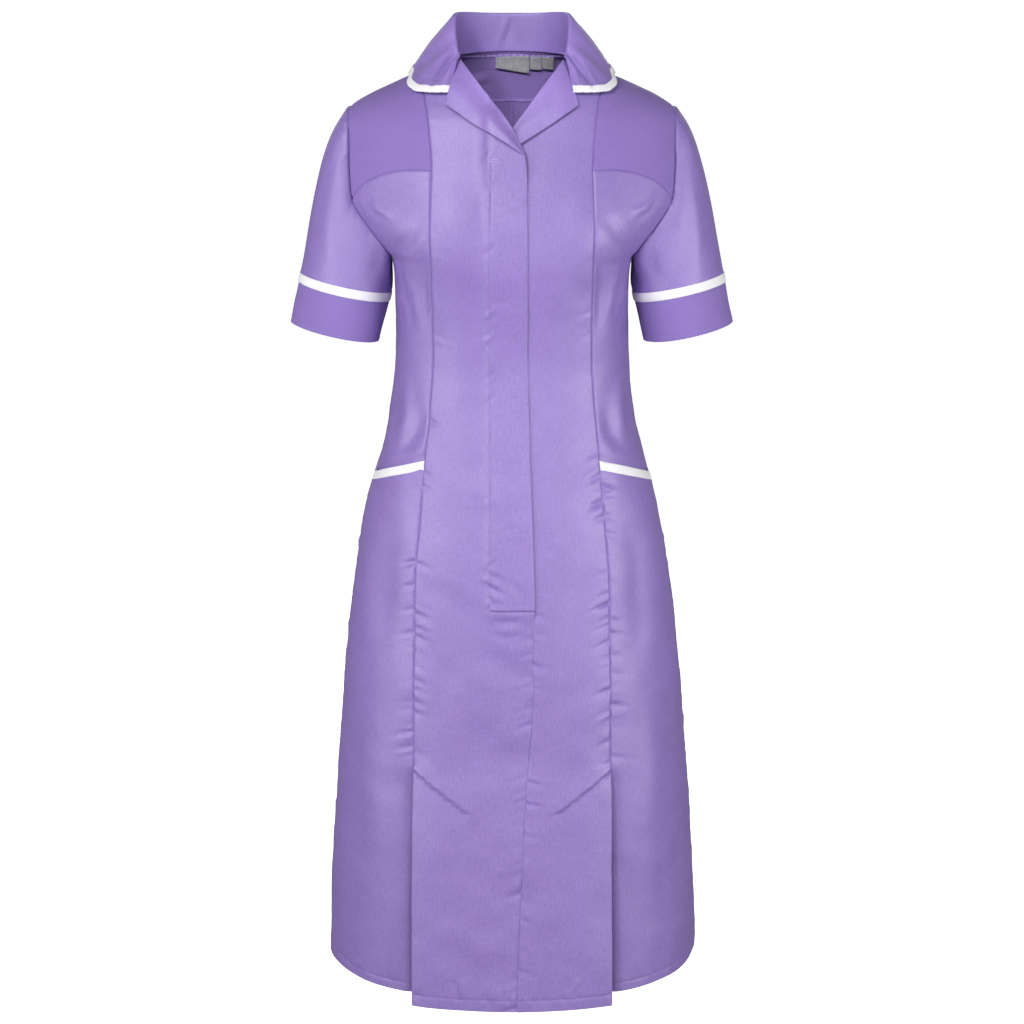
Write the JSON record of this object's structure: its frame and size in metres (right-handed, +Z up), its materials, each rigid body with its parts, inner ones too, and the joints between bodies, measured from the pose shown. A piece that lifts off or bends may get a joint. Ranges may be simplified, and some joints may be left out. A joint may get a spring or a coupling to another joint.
{
  "type": "nurse uniform dress",
  "caption": "Knee-length workwear dress with short sleeves, rever collar, front placket, hip pockets, yokes and front kick pleats, held open as it is when worn.",
  "frame": {"origin": "on the dress's middle line, level with the seam at the nape, where the wearer's shoulders carry it", "axes": "+Z up, the front faces -Y, the wearer's right is at -X"},
  "size_m": [0.4922, 0.3296, 1.088],
  "materials": {
    "cloth": "lilac twill weave of polyester and cotton, soft sheen",
    "yoke_cloth": "the same lilac weave, laid double, so a little deeper",
    "white_trim": "white woven binding",
    "label": "plain grey woven label with nothing on it"
  },
  "bodies": {
    "root": {"back_left": "cloth", "back_right": "cloth", "back_yoke": "yoke_cloth", "collar": "cloth", "collar_trim": "white_trim", "cuff_left": "yoke_cloth", "cuff_right": "yoke_cloth", "front_centre_left": "cloth", "front_centre_right": "cloth", "front_side_left": "cloth", "front_side_right": "cloth", "front_yoke_left": "yoke_cloth", "front_yoke_right": "yoke_cloth", "kick_pleat_left": "cloth", "kick_pleat_right": "cloth", "lapel_left": "cloth", "lapel_right": "cloth", "neck_label": "label", "pocket_trim_left": "white_trim", "pocket_trim_right": "white_trim", "skirt_side_left": "cloth", "skirt_side_right": "cloth", "sleeve_left": "cloth", "sleeve_right": "cloth", "sleeve_trim_left": "white_trim", "sleeve_trim_right": "white_trim", "small_label_inner": "label", "small_label_outer": "label"}
  },
  "joints": []
}
